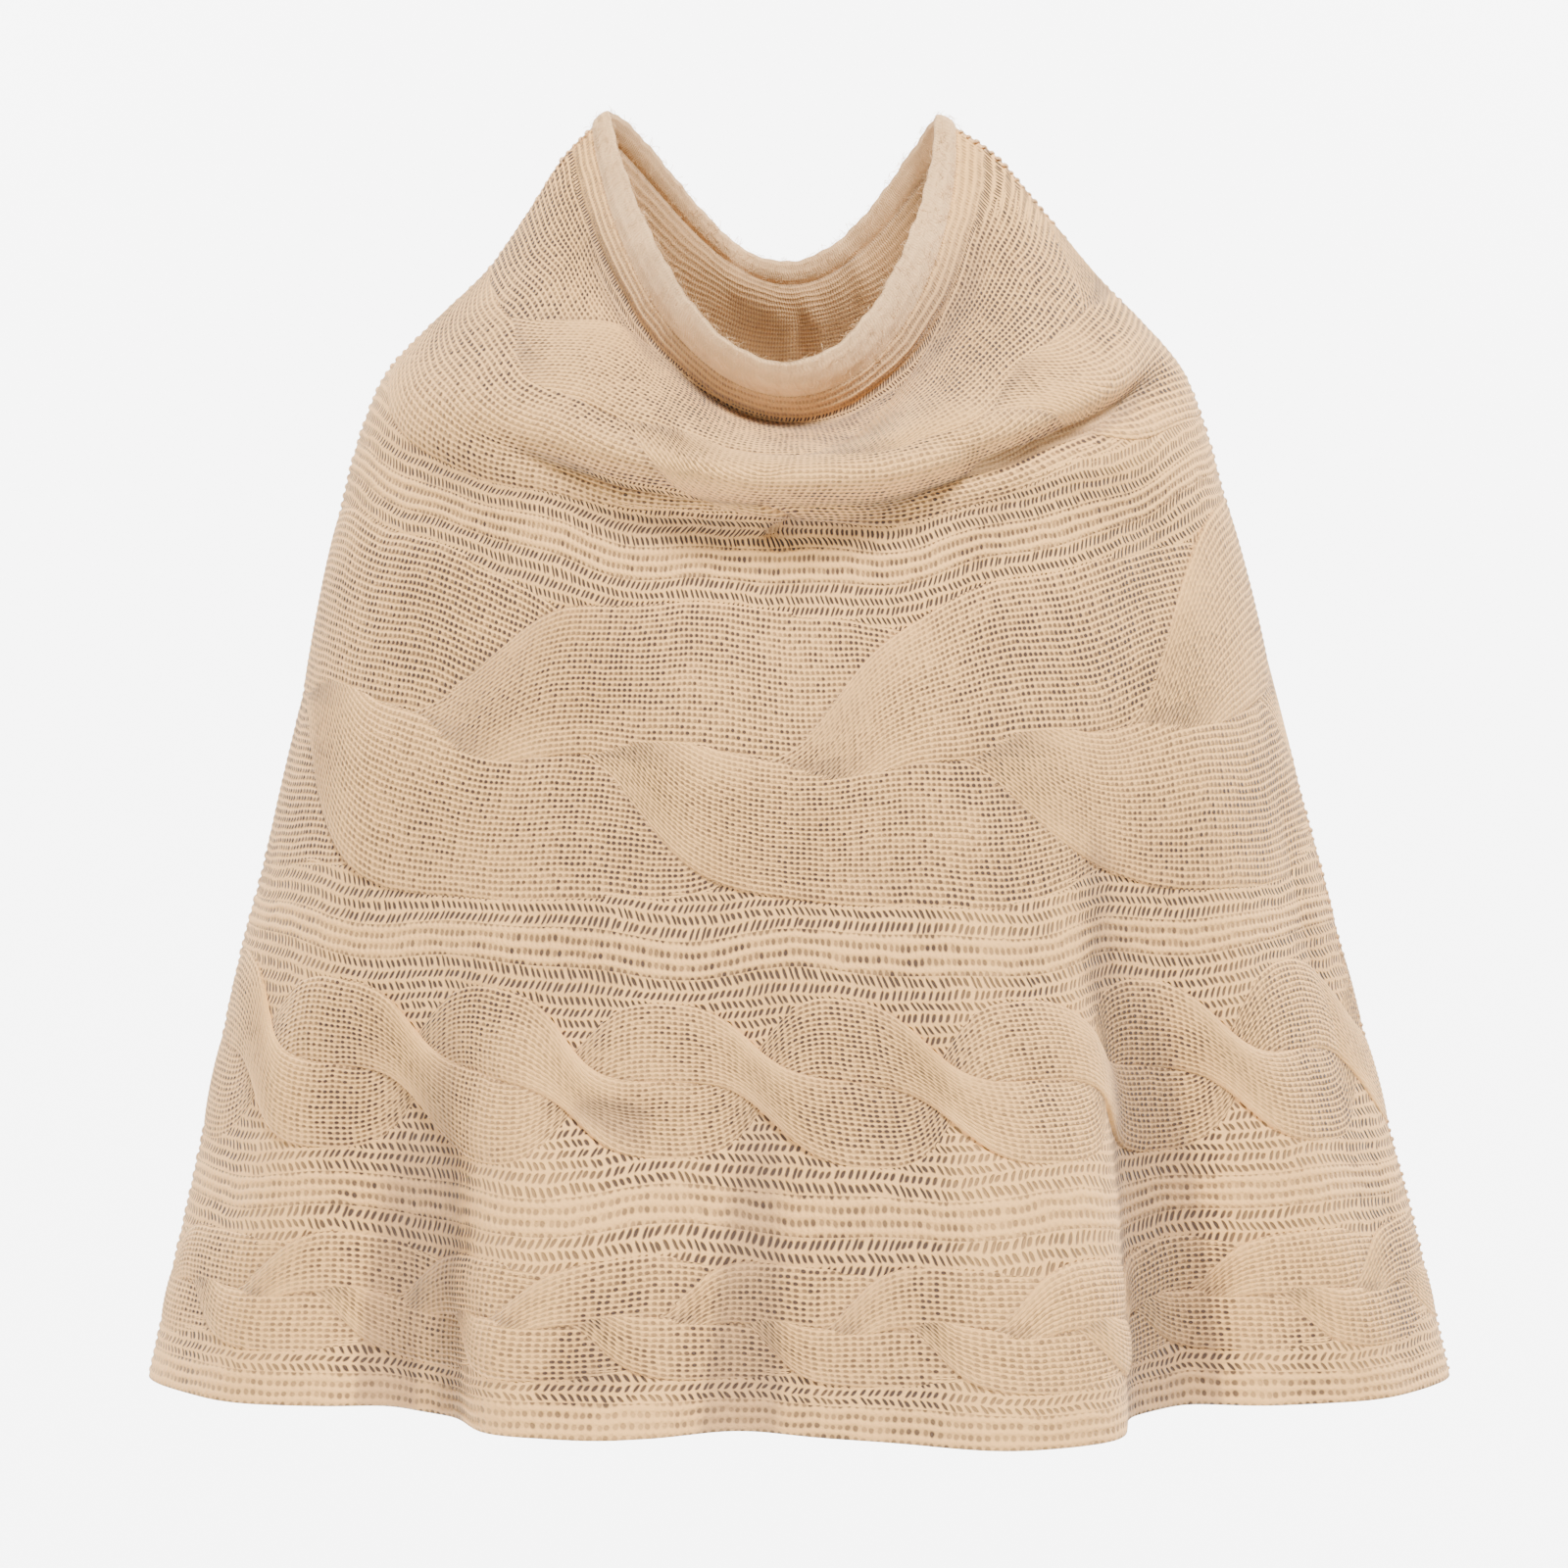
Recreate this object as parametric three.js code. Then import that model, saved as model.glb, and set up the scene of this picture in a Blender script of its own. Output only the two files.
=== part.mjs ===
// A knitted poncho sweater, hollow as it is when worn: a front and a back panel knitted sideways, so that
// their cables and ribs run round the body, joined down both sides, and a rolled band round the cowl neck.
// Millimetres. +Z is up, -Y is the front, and the origin lies midway between the two shoulder tips.
import * as THREE from "three";
import { mergeVertices } from "three/addons/utils/BufferGeometryUtils.js";

// Driving dimensions
const CLOTH_WALL = 3; // the plain knitted ground, without its cables
const SEAM_GAP = 0.3; // between pieces that a seam joins
const COLUMNS = { front: 50, back: 46 }; // steps across a panel, from side seam to side seam
const RING_SAMPLES = 480; // steps along a level when its length is measured
const NORMAL_STEP = 0.004; // share of a panel between the points that give a normal
const YARN_COLOUR = 0xd2b89e;

// The shape that the cloth hangs in, level by level. The first column is the length of cloth below the neck
// seam along a side seam. side, front and back give the height at the side seams and at the two middles, and
// a curve how late a level leaves the one for the other. width is half the width, shift its middle's X, and
// sway how much further to +X the cloth's middles hang. frontDepth and backDepth reach from the side seams to
// the middles. point sharpens the side's turn: 1 is an ellipse, and more brings front and back to an edge.
const LEVEL_COLUMNS = [
  "down", "side", "width", "shift", "sway",
  "front", "frontDepth", "frontCurve",
  "back", "backDepth", "backCurve", "point",
];
const LEVELS = [
  [0, 130, 98, -5.5, 8.5, -13, 98, 1.2, 48, 62, 2.7, 1.4],
  [22, 115, 116, -2, 7, -28, 86, 1.3, 36, 64, 2.6, 1.35],
  [60, 84, 139, 1.5, 5, -37, 108, 1.5, 20, 77, 2.2, 1.25],
  [100, 53, 163, 3, 2, -45, 132, 1.5, 2, 92, 1.9, 1.15],
  [140, 24, 192, 2, 0, -57, 139, 1.5, -20, 104, 1.7, 1.1],
  [171, 0, 214, 0.5, 0, -69, 129, 1.6, -38, 112, 1.6, 1.05],
  [199, -27, 226, 0, 0, -83, 115, 1.7, -58, 118, 1.6, 1],
  [239, -65, 237, 0, 0, -124, 119, 1.8, -96, 126, 1.6, 1],
  [346, -168, 261, 2.5, 0, -204, 142, 1.7, -190, 140, 1.6, 1],
  [454, -273, 288, 4.5, 0, -280, 148, 1.6, -282, 148, 1.6, 1],
  [494, -311, 298, 4, 0, -326, 150, 1.6, -320, 150, 1.6, 1],
  [602, -417, 324, 7, 0, -411, 147, 1.6, -419, 152, 1.6, 1],
  [642, -457, 334, 8, 0, -459, 145, 1.6, -459, 153, 1.6, 1],
  [735, -550, 356, 8.5, 0, -550, 140, 1.6, -550, 155, 1.6, 1],
];
const HEM = LEVELS[LEVELS.length - 1][0];

// The folds that the skirt falls in. place runs from -1 at the side seam on -X to 1 at the other; hemPlace is
// where the fold meets the hem and topPlace where it begins, at the level from. A step stays risen past its
// place, and a wave falls again within its spread. rise goes outwards and slide along the hem.
const FOLDS = [
  { panel: "front", kind: "step", topPlace: -0.58, hemPlace: -0.44, from: 430, spread: 0.035, rise: 50, slide: -16 },
  { panel: "front", kind: "step", topPlace: 0.56, hemPlace: 0.43, from: 330, spread: 0.03, rise: -52, slide: 16 },
  { panel: "front", kind: "wave", topPlace: -0.66, hemPlace: -0.63, from: 520, spread: 0.07, rise: -14, slide: 0 },
  { panel: "front", kind: "wave", topPlace: -0.3, hemPlace: -0.28, from: 420, spread: 0.12, rise: 14, slide: 0 },
  { panel: "front", kind: "wave", topPlace: -0.05, hemPlace: -0.09, from: 480, spread: 0.1, rise: -24, slide: 0 },
  { panel: "front", kind: "wave", topPlace: 0.36, hemPlace: 0.28, from: 300, spread: 0.14, rise: 38, slide: 0 },
  { panel: "front", kind: "wave", topPlace: 0.66, hemPlace: 0.6, from: 420, spread: 0.08, rise: -20, slide: 0 },
  { panel: "front", kind: "wave", topPlace: 0.8, hemPlace: 0.86, from: 300, spread: 0.08, rise: 8, slide: 0 },
  { panel: "front", kind: "wave", topPlace: -0.85, hemPlace: -0.84, from: 330, spread: 0.08, rise: 10, slide: 0 },
  { panel: "back", kind: "step", topPlace: -0.6, hemPlace: -0.5, from: 360, spread: 0.04, rise: 40, slide: -12 },
  { panel: "back", kind: "step", topPlace: 0.66, hemPlace: 0.57, from: 440, spread: 0.035, rise: -40, slide: 12 },
  { panel: "back", kind: "wave", topPlace: -0.2, hemPlace: -0.26, from: 400, spread: 0.13, rise: 26, slide: 0 },
  { panel: "back", kind: "wave", topPlace: 0.06, hemPlace: 0.04, from: 340, spread: 0.1, rise: -28, slide: 0 },
  { panel: "back", kind: "wave", topPlace: 0.3, hemPlace: 0.34, from: 460, spread: 0.12, rise: 22, slide: 0 },
  { panel: "back", kind: "wave", topPlace: 0.8, hemPlace: 0.8, from: 350, spread: 0.09, rise: 12, slide: 0 },
  { panel: "back", kind: "wave", topPlace: -0.78, hemPlace: -0.76, from: 430, spread: 0.08, rise: 10, slide: 0 },
];

// The knitted bands, from the neck seam to the hem. top and bottom are levels, and rows and inner the steps
// between them outside and on the plain inside. A cable has strands, repeats across the front (the back has
// the rest of a whole number), the share of the front where one crossing lies, and the height that it stands
// out; ribs has a number of ribs and their height; purl lies at the ground.
const BANDS = [
  { kind: "purl", top: 0, bottom: 14, rows: 1, inner: 1 },
  { kind: "cable", top: 14, bottom: 199, rows: 10, inner: 10, strands: 3, repeats: 2.5, crossing: 0.27, height: 4 },
  { kind: "purl", top: 199, bottom: 211, rows: 1, inner: 0 },
  { kind: "ribs", top: 211, bottom: 227, rows: 6, inner: 1, ribs: 3, height: 2 },
  { kind: "purl", top: 227, bottom: 239, rows: 1, inner: 0 },
  { kind: "cable", top: 239, bottom: 454, rows: 10, inner: 2, strands: 3, repeats: 3.3, crossing: 0.305, height: 6 },
  { kind: "purl", top: 454, bottom: 466, rows: 1, inner: 0 },
  { kind: "ribs", top: 466, bottom: 482, rows: 6, inner: 1, ribs: 3, height: 2 },
  { kind: "purl", top: 482, bottom: 494, rows: 1, inner: 0 },
  { kind: "cable", top: 494, bottom: 602, rows: 6, inner: 2, strands: 2, repeats: 8, crossing: 0.47, height: 5.5 },
  { kind: "purl", top: 602, bottom: 614, rows: 1, inner: 0 },
  { kind: "ribs", top: 614, bottom: 630, rows: 6, inner: 1, ribs: 3, height: 2 },
  { kind: "purl", top: 630, bottom: 642, rows: 1, inner: 0 },
  { kind: "cable", top: 642, bottom: 707, rows: 5, inner: 1, strands: 3, repeats: 10, crossing: 0.54, height: 4 },
  { kind: "purl", top: 707, bottom: 717, rows: 1, inner: 0 },
  { kind: "ribs", top: 717, bottom: HEM, rows: 6, inner: 1, ribs: 3, height: 2 },
];

// A cable's strands are wide where they run along its edge and narrow where they swing over to the other one.
// Widths here are shares of half the cable's width. snap is how quick the swing is, and roundShare how much of
// a strand's height its own roundness gives, the rest being its lift over the others.
const STRAND = { wide: 0.52, narrow: 0.38, snap: 1.7, roundShare: 0.35 };

// The rolled neck band, given by its thickness and its height at the front, the back and the two side tips.
// Within tipColumns of a tip it has a section at each column of the panel below, and elsewhere at every other.
const NECK_BAND = {
  tipColumns: 10,
  tipGap: 0.4, // more room above the panels at the very tips, where their edges twist
  sectionPoints: 8,
  thickness: 5.5,
  frontHeight: 26,
  backHeight: 15,
  sideHeight: 15,
  outwards: 1.2,
};

const clamp = (value, low, high) => Math.min(high, Math.max(low, value));
const smooth = (share) => share * share * (3 - 2 * share);

// A column of the level table at any level, on a smooth curve through its rows
function atLevel(column, down) {
  const number = LEVEL_COLUMNS.indexOf(column);
  const last = LEVELS.length - 1;
  let i = 0;
  while (i < last - 1 && down > LEVELS[i + 1][0]) i += 1;
  const slope = (k) => {
    const a = LEVELS[Math.max(0, k - 1)];
    const b = LEVELS[Math.min(last, k + 1)];
    return (b[number] - a[number]) / (b[0] - a[0]);
  };
  const span = LEVELS[i + 1][0] - LEVELS[i][0];
  const t = (down - LEVELS[i][0]) / span;
  const [p, q] = [LEVELS[i][number], LEVELS[i + 1][number]];
  const [m, n] = [slope(i) * span, slope(i + 1) * span];
  return (
    p * (1 + 2 * t) * (1 - t) ** 2 + q * t * t * (3 - 2 * t) + m * t * (1 - t) ** 2 - n * t * t * (1 - t)
  );
}

// How far the folds move the cloth outwards and sideways at one place of a level
function foldAt(panel, place, down) {
  let out = 0;
  let along = 0;
  for (const fold of FOLDS) {
    if (fold.panel !== panel || down <= fold.from) continue;
    const share = (down - fold.from) / (HEM - fold.from);
    const centre = fold.topPlace + (fold.hemPlace - fold.topPlace) * share;
    const away = (place - centre) / fold.spread;
    const grown = smooth(share) * 0.6 + share * 0.4;
    const form = fold.kind === "step" ? 0.5 + 0.5 * Math.tanh(away) : Math.exp(-away * away);
    out += fold.rise * grown * form;
    const lip = (away - Math.sign(fold.rise)) / 1.6;
    along += fold.slide * grown * Math.exp(-lip * lip);
  }
  return { out, along };
}

// A point of a level, where turn runs from 0 at the side seam on -X to PI at the other
function levelPoint(panel, turn, down) {
  const towards = panel === "front" ? -1 : 1;
  const width = atLevel("width", down);
  const depth = atLevel(panel + "Depth", down);
  const side = atLevel("side", down);
  const middle = atLevel(panel, down);
  const sway = atLevel("sway", down);
  const rise = Math.sin(turn);
  const place = -Math.cos(turn);
  const { out, along } = foldAt(panel, place, down);
  const normal = new THREE.Vector2(place / width, rise / depth).normalize();
  const flat = Math.min(1, rise * 4);
  return new THREE.Vector3(
    atLevel("shift", down) + width * place + sway * rise + (normal.x * out + normal.y * along) * flat,
    towards * (depth * rise ** atLevel("point", down) + (normal.y * out - normal.x * along) * flat + SEAM_GAP / 2),
    side + (middle - side) * rise ** atLevel(panel + "Curve", down),
  );
}

// The turns that divide a level into equal lengths of cloth, so that stitches keep their size in the folds
const turnTables = new Map();
function turnsOf(panel, down) {
  const key = panel + down.toFixed(4);
  if (!turnTables.has(key)) {
    const lengths = [0];
    let before = levelPoint(panel, 0, down);
    for (let i = 1; i <= RING_SAMPLES; i += 1) {
      const point = levelPoint(panel, (Math.PI * i) / RING_SAMPLES, down);
      lengths.push(lengths[i - 1] + point.distanceTo(before));
      before = point;
    }
    turnTables.set(key, lengths);
  }
  return turnTables.get(key);
}

// The cloth's ground, where across runs from 0 at the side seam on -X to 1 at the other
function clothPoint(panel, across, down) {
  const lengths = turnsOf(panel, down);
  const wanted = clamp(across, 0, 1) * lengths[RING_SAMPLES];
  let low = 0;
  let high = RING_SAMPLES;
  while (high - low > 1) {
    const middle = (low + high) >> 1;
    if (lengths[middle] <= wanted) low = middle;
    else high = middle;
  }
  const step = low + (wanted - lengths[low]) / (lengths[high] - lengths[low]);
  return levelPoint(panel, (Math.PI * step) / RING_SAMPLES, down);
}

// How far the knitted rows wander from their levels between the seams, the neck and the hem
function wander(across, down) {
  const waves = Math.sin(27 * across + down / 50) + 0.6 * Math.sin(49 * across - down / 70);
  const inside = clamp(10 * across * (1 - across), 0, 1) * clamp(Math.min(down, HEM - down) / 60, 0, 1);
  return 1.7 * waves * inside;
}

function clothNormal(panel, across, down) {
  const reach = NORMAL_STEP * HEM;
  const left = clothPoint(panel, across - NORMAL_STEP, down);
  const right = clothPoint(panel, across + NORMAL_STEP, down);
  const above = clothPoint(panel, across, Math.max(0, down - reach));
  const below = clothPoint(panel, across, Math.min(HEM, down + reach));
  const normal = right.sub(left).cross(above.sub(below)).normalize();
  if (panel === "back") normal.negate();
  if (across === 0 || across === 1) normal.setY(0).normalize(); // the two panels meet edge to edge
  return normal;
}

// A strand's place between the cable's edges, from -1 to 1, how steeply it swings there, and its lift over the
// others, all at a number of turns from the crossing
function strandAt(strands, strand, turns) {
  const braid = strands === 3;
  const phase = braid ? (5 * Math.PI) / 3 + (2 * Math.PI * (turns + strand)) / 3 : Math.PI * (0.5 + turns + strand);
  const lift = braid ? (-2 / Math.sqrt(3)) * Math.sin(2 * phase) : Math.sin(phase);
  const reach = STRAND.snap * Math.cos(phase);
  return {
    swing: Math.tanh(reach) / Math.tanh(STRAND.snap),
    steep: Math.abs(Math.sin(phase)) / Math.cosh(reach) ** 2,
    raised: 0.5 + 0.5 * clamp(lift, -1, 1),
  };
}

// Around runs on from the front's across, and over the back from 1 to 2
function cableHeight(band, around, down) {
  const backRepeats = Math.round(2 * band.repeats) - band.repeats;
  const turns = (Math.min(around, 1) - band.crossing) * band.repeats + Math.max(0, around - 1) * backRepeats;
  const up = 1 - (2 * (down - band.top)) / (band.bottom - band.top);
  let height = 0;
  for (let strand = 0; strand < band.strands; strand += 1) {
    const { swing, steep, raised } = strandAt(band.strands, strand, turns);
    const halfWidth = STRAND.wide - (STRAND.wide - STRAND.narrow) * steep;
    const off = (up - swing * (1 - halfWidth)) / halfWidth;
    if (Math.abs(off) >= 1) continue;
    const crown = (1 - off * off) ** 0.55;
    height = Math.max(height, crown * (STRAND.roundShare + (1 - STRAND.roundShare) * raised));
  }
  return height * band.height;
}

function relief(band, around, down) {
  if (band.kind === "cable") return cableHeight(band, around, down);
  if (band.kind === "purl") return 0;
  const share = (down - band.top) / (band.bottom - band.top);
  return band.height * Math.sin(Math.PI * band.ribs * share) ** 2;
}

// One panel: an outer wall that carries the knitted relief, and a plain inner one with fewer levels
function panelGeometry(panel) {
  const columns = COLUMNS[panel];
  const outerLevels = [{ down: 0, band: BANDS[0], inner: true }];
  for (const band of BANDS) {
    const every = band.inner > 0 ? Math.ceil(band.rows / band.inner) : 0;
    for (let row = 1; row <= band.rows; row += 1) {
      const down = band.top + ((band.bottom - band.top) * row) / band.rows;
      outerLevels.push({ down, band, inner: every > 0 && (row % every === 0 || row === band.rows) });
    }
  }
  const positions = [];
  const faces = [];
  const put = (point) => positions.push(point.x, point.y, point.z) / 3 - 1;
  const outer = [];
  const inner = [];
  for (const level of outerLevels) {
    const outerRow = [];
    const innerRow = [];
    for (let column = 0; column <= columns; column += 1) {
      const across = column / columns;
      const around = panel === "front" ? across : 2 - across;
      const down = level.down + wander(across, level.down);
      const ground = clothPoint(panel, across, down);
      const normal = clothNormal(panel, across, down);
      const height = CLOTH_WALL / 2 + relief(level.band, around, level.down);
      outerRow.push(put(ground.clone().addScaledVector(normal, height)));
      if (level.inner) innerRow.push(put(ground.clone().addScaledVector(normal, -CLOTH_WALL / 2)));
    }
    outer.push(outerRow);
    inner.push(level.inner ? innerRow : null);
  }
  const quad = (a, b, c, d) => faces.push([a, b, c], [a, c, d]);
  for (let row = 1; row < outer.length; row += 1) {
    for (let column = 1; column <= columns; column += 1) {
      const [top, bottom] = [outer[row - 1], outer[row]];
      quad(top[column - 1], bottom[column - 1], bottom[column], top[column]);
    }
  }
  const innerAt = inner.map((row, i) => (row ? i : -1)).filter((i) => i >= 0);
  for (let k = 1; k < innerAt.length; k += 1) {
    const [from, to] = [innerAt[k - 1], innerAt[k]];
    const [top, bottom] = [inner[from], inner[to]];
    for (let column = 1; column <= columns; column += 1) {
      quad(top[column], bottom[column], bottom[column - 1], top[column - 1]);
    }
    for (const [column, turned] of [[0, true], [columns, false]]) {
      const fan = (a, b, c) => faces.push(turned ? [a, b, c] : [a, c, b]);
      for (let row = from + 1; row <= to; row += 1) fan(top[column], outer[row][column], outer[row - 1][column]);
      fan(top[column], bottom[column], outer[to][column]);
    }
  }
  for (let column = 1; column <= columns; column += 1) {
    const [neckOut, neckIn] = [outer[0], inner[0]];
    quad(neckOut[column - 1], neckOut[column], neckIn[column], neckIn[column - 1]);
    const [hemOut, hemIn] = [outer[outer.length - 1], inner[inner.length - 1]];
    quad(hemOut[column], hemOut[column - 1], hemIn[column - 1], hemIn[column]);
  }
  return closedGeometry(positions, faces, panel === "back");
}

function closedGeometry(positions, faces, turnRound) {
  const geometry = new THREE.BufferGeometry();
  geometry.setAttribute("position", new THREE.Float32BufferAttribute(positions, 3));
  geometry.setIndex(faces.flatMap(([a, b, c]) => (turnRound ? [a, c, b] : [a, b, c])));
  const merged = mergeVertices(geometry, 1e-4);
  merged.computeVertexNormals();
  return merged;
}

// The neck band stands on the panels' neck edges, a rounded strip that closes on itself
function neckBandGeometry() {
  const { tipColumns, tipGap, sectionPoints, thickness, frontHeight, backHeight, sideHeight, outwards } = NECK_BAND;
  const places = [];
  for (const [panel, columns] of Object.entries(COLUMNS)) {
    for (let column = 0; column < columns; column += 1) {
      const fromTip = Math.min(column, columns - column);
      if (column % 2 === 1 && fromTip > tipColumns) continue;
      const gap = SEAM_GAP + tipGap * Math.max(0, 1 - fromTip / 3);
      places.push({ panel, gap, across: panel === "front" ? column / columns : 1 - column / columns });
    }
  }
  const positions = [];
  for (const { panel, gap, across } of places) {
    const edge = clothPoint(panel, across, 0);
    const normal = clothNormal(panel, across, 0);
    const above = edge.clone().sub(clothPoint(panel, across, 4)).normalize();
    const middle = Math.sin(Math.PI * across);
    const height = sideHeight + ((panel === "front" ? frontHeight : backHeight) - sideHeight) * middle;
    const atSide = across === 0 || across === 1;
    if (atSide) edge.setY(0);
    for (let k = 0; k < sectionPoints; k += 1) {
      const turn = (2 * Math.PI * (k + 0.5)) / sectionPoints;
      const up = gap + (height / 2) * (1 + Math.cos(turn) / Math.cos(Math.PI / sectionPoints));
      const out = outwards + (thickness / 2) * Math.sin(turn);
      const point = edge.clone().addScaledVector(above, up).addScaledVector(normal, out);
      positions.push(point.x, point.y, point.z);
    }
  }
  const faces = [];
  for (let station = 0; station < places.length; station += 1) {
    const next = (station + 1) % places.length;
    for (let k = 0; k < sectionPoints; k += 1) {
      const a = station * sectionPoints + k;
      const b = station * sectionPoints + ((k + 1) % sectionPoints);
      const c = next * sectionPoints + ((k + 1) % sectionPoints);
      const d = next * sectionPoints + k;
      faces.push([a, b, c], [a, c, d]);
    }
  }
  return closedGeometry(positions, faces, false);
}

function piece(name, geometry) {
  const yarn = new THREE.MeshStandardMaterial({ color: YARN_COLOUR, roughness: 0.95, metalness: 0 });
  const mesh = new THREE.Mesh(geometry, yarn);
  mesh.name = name;
  return mesh;
}

const poncho = new THREE.Group();
poncho.add(piece("front", panelGeometry("front")));
poncho.add(piece("back", panelGeometry("back")));
poncho.add(piece("neck_band", neckBandGeometry()));

export default poncho;
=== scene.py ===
import math

import bpy
import numpy as np
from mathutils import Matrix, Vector


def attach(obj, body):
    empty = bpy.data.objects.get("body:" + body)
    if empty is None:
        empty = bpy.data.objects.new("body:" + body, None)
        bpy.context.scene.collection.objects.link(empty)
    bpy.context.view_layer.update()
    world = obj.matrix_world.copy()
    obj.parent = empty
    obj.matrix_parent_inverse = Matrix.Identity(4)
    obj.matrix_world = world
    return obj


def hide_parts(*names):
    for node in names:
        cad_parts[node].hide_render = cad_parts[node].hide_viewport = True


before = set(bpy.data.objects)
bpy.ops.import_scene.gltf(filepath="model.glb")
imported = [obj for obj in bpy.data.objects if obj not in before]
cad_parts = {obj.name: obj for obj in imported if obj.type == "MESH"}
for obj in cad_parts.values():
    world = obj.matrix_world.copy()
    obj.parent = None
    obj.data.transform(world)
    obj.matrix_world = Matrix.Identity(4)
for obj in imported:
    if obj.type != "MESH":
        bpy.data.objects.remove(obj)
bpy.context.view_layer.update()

# The ground of the front and back panels. Each is one sheet of beige wool, knitted sideways, so that its
# ribs run round the body. It hangs from the shoulders, hollow, and falls in folds towards the hem. Its
# purl channels show as rows of leaning rungs, and its ribs stand out in threes.

# Sizes of the hanging shape in millimetres, as in the part's source: one row for each level of the cloth
LEVEL_COLUMNS = (
    "down", "side", "width", "shift", "sway",
    "front", "front_depth", "front_curve",
    "back", "back_depth", "back_curve", "point",
)
LEVELS = np.array([
    (0, 130, 98, -5.5, 8.5, -13, 98, 1.2, 48, 62, 2.7, 1.4),
    (22, 115, 116, -2, 7, -28, 86, 1.3, 36, 64, 2.6, 1.35),
    (60, 84, 139, 1.5, 5, -37, 108, 1.5, 20, 77, 2.2, 1.25),
    (100, 53, 163, 3, 2, -45, 132, 1.5, 2, 92, 1.9, 1.15),
    (140, 24, 192, 2, 0, -57, 139, 1.5, -20, 104, 1.7, 1.1),
    (171, 0, 214, 0.5, 0, -69, 129, 1.6, -38, 112, 1.6, 1.05),
    (199, -27, 226, 0, 0, -83, 115, 1.7, -58, 118, 1.6, 1),
    (239, -65, 237, 0, 0, -124, 119, 1.8, -96, 126, 1.6, 1),
    (346, -168, 261, 2.5, 0, -204, 142, 1.7, -190, 140, 1.6, 1),
    (454, -273, 288, 4.5, 0, -280, 148, 1.6, -282, 148, 1.6, 1),
    (494, -311, 298, 4, 0, -326, 150, 1.6, -320, 150, 1.6, 1),
    (602, -417, 324, 7, 0, -411, 147, 1.6, -419, 152, 1.6, 1),
    (642, -457, 334, 8, 0, -459, 145, 1.6, -459, 153, 1.6, 1),
    (735, -550, 356, 8.5, 0, -550, 140, 1.6, -550, 155, 1.6, 1),
])
HEM = 735
CLOTH_WALL = 3
SEAM_GAP = 0.3

# The folds of the skirt: panel, kind, place at the top, place at the hem, level where it begins, spread,
# rise and slide. A step stays risen past its place, and a wave falls again. The two steps of the front are
# softer than in the solids.
FOLDS = [
    ("front", "step", -0.58, -0.45, 430, 0.055, 50, -10),
    ("front", "step", 0.56, 0.43, 330, 0.042, -52, 14),
    ("front", "wave", -0.66, -0.63, 520, 0.07, -14, 0),
    ("front", "wave", -0.3, -0.28, 420, 0.12, 14, 0),
    ("front", "wave", -0.05, -0.09, 480, 0.1, -24, 0),
    ("front", "wave", 0.36, 0.28, 300, 0.14, 38, 0),
    ("front", "wave", 0.66, 0.6, 420, 0.08, -20, 0),
    ("front", "wave", 0.8, 0.86, 300, 0.08, 8, 0),
    ("front", "wave", -0.85, -0.84, 330, 0.08, 10, 0),
    ("back", "step", -0.6, -0.5, 360, 0.04, 40, -12),
    ("back", "step", 0.66, 0.57, 440, 0.035, -40, 12),
    ("back", "wave", -0.2, -0.26, 400, 0.13, 26, 0),
    ("back", "wave", 0.06, 0.04, 340, 0.1, -28, 0),
    ("back", "wave", 0.3, 0.34, 460, 0.12, 22, 0),
    ("back", "wave", 0.8, 0.8, 350, 0.09, 12, 0),
    ("back", "wave", -0.78, -0.76, 430, 0.08, 10, 0),
]

# Small creases, soft and uneven: panel, start and end as (place, level), width, and depth, which is below
# zero in a trough
HALF_PANEL = 260  # millimetres of cloth from the middle of a panel to its side seam
CREASE_BEND, CREASE_WAVER = 9, 3  # millimetres that a crease strays from a straight line
CREASES = [
    ("front", (-0.75, 30), (-0.25, 150), 16, -3.0),
    ("front", (-0.62, 22), (-0.3, 110), 12, 2.4),
    ("front", (0.72, 30), (0.25, 130), 16, -3.2),
    ("front", (1.0, 172), (0.42, 132), 16, -6.0),
    ("front", (1.0, 146), (0.45, 100), 18, 4.0),
    ("front", (-0.1, 120), (0.0, 215), 14, -2.6),
    ("front", (-0.9, 190), (-0.5, 300), 22, -2.5),
    ("front", (0.85, 210), (0.62, 380), 20, -3.5),
    ("front", (0.2, 260), (0.3, 430), 26, 2.5),
    ("front", (-0.7, 138), (0.85, 140), 14, 4.0),
    ("front", (-0.8, 174), (0.95, 172), 14, -8.5),
    ("front", (0.12, 180), (1.02, 166), 16, -6.0),
    ("front", (-0.035, 168), (-0.035, 206), 5, -7.0),
    ("front", (-0.3, 540), (-0.27, 735), 24, -14.0),
    ("front", (-0.45, 500), (-0.42, 735), 15, 6.0),
    ("front", (-0.35, 300), (-0.42, 520), 24, -2.6),
    ("back", (-0.34, 4), (0.04, 62), 10, -3.0),
    ("back", (0.42, 4), (0.06, 62), 10, -3.0),
    ("back", (0.05, 10), (0.05, 80), 12, -4.0),
    ("back", (-0.7, 30), (-0.2, 140), 16, -3.0),
    ("back", (0.65, 26), (0.2, 150), 18, -3.0),
    ("back", (-0.9, 150), (-0.4, 230), 20, -3.4),
    ("back", (0.92, 160), (0.45, 240), 20, -3.0),
    ("back", (0.1, 180), (0.05, 330), 24, 2.6),
    ("back", (-0.4, 260), (-0.5, 440), 22, -2.8),
    ("back", (0.5, 280), (0.6, 460), 22, -2.6),
]


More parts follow.
